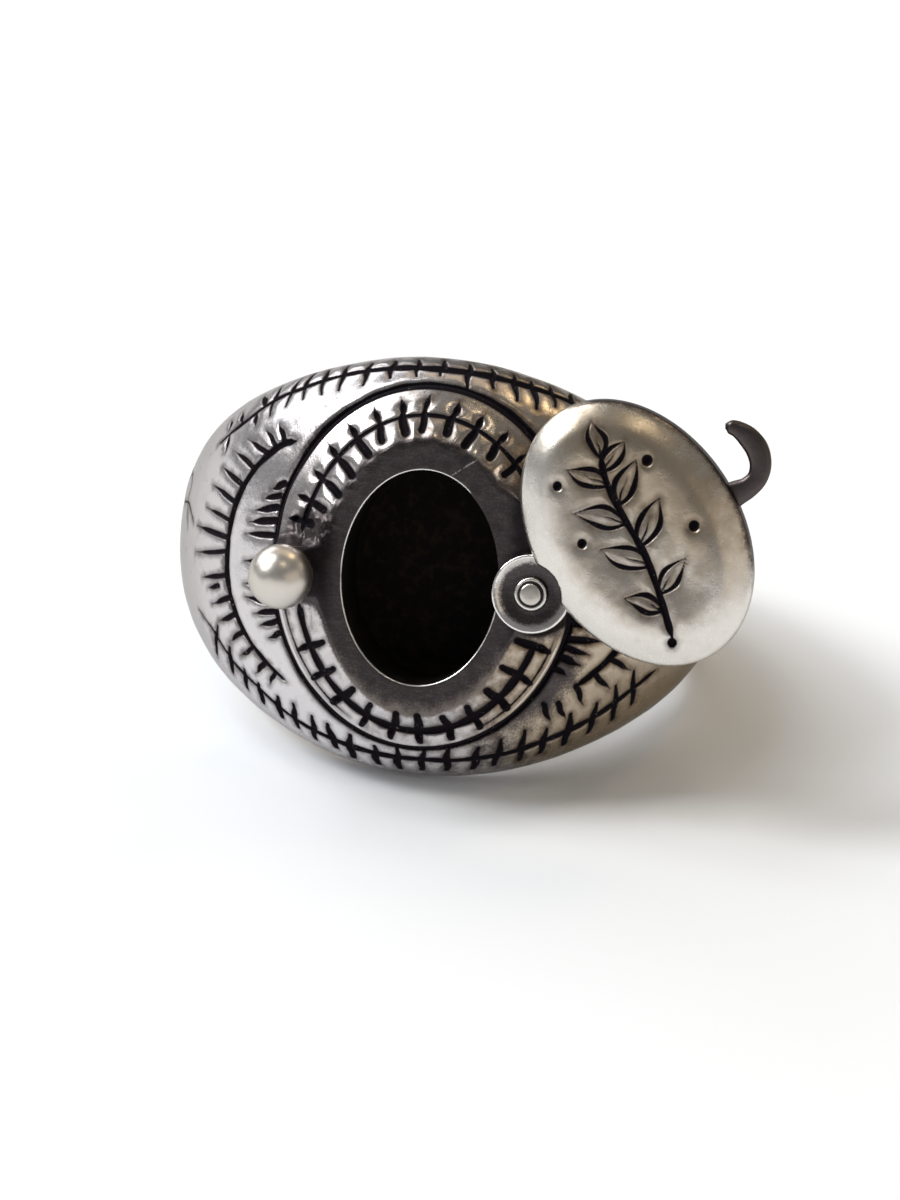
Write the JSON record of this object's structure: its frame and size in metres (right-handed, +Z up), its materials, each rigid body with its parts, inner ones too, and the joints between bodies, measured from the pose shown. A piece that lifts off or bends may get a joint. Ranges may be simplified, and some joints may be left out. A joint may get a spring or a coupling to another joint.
{
  "type": "finger ring",
  "caption": "Wide domed oxidised silver finger ring with a raised oval compartment, a swivel lid on a rivet, and a ball-headed catch stud.",
  "frame": {"origin": "on the table under the middle of the ring as it lies on its side with the lid open", "axes": "+Z up; the face with the compartment looks to -Y and a little up; the lid's rivet is on the +X side"},
  "size_m": [0.0262, 0.0266, 0.018],
  "materials": {
    "band_silver": "oxidised sterling silver, polished high spots over dark grooves and a dark rim",
    "stud_silver": "satin sterling silver",
    "rivet_silver": "worn sterling silver, darkened at its edge",
    "lid_silver": "oxidised sterling silver, polished face and dark grey hook"
  },
  "bodies": {
    "ring": {"ring_body": "band_silver", "catch_stud": "stud_silver", "pivot_rivet": "rivet_silver"},
    "lid": {"lid": "lid_silver"}
  },
  "joints": [
    {"name": "lid_swivel", "type": "hinge", "parent": "ring", "child": "lid", "pos_m": [0.00357, -0.00972, 0.00982], "axis": [0.0056, -0.9466, 0.3222], "range_deg": [-205, 143]}
  ]
}
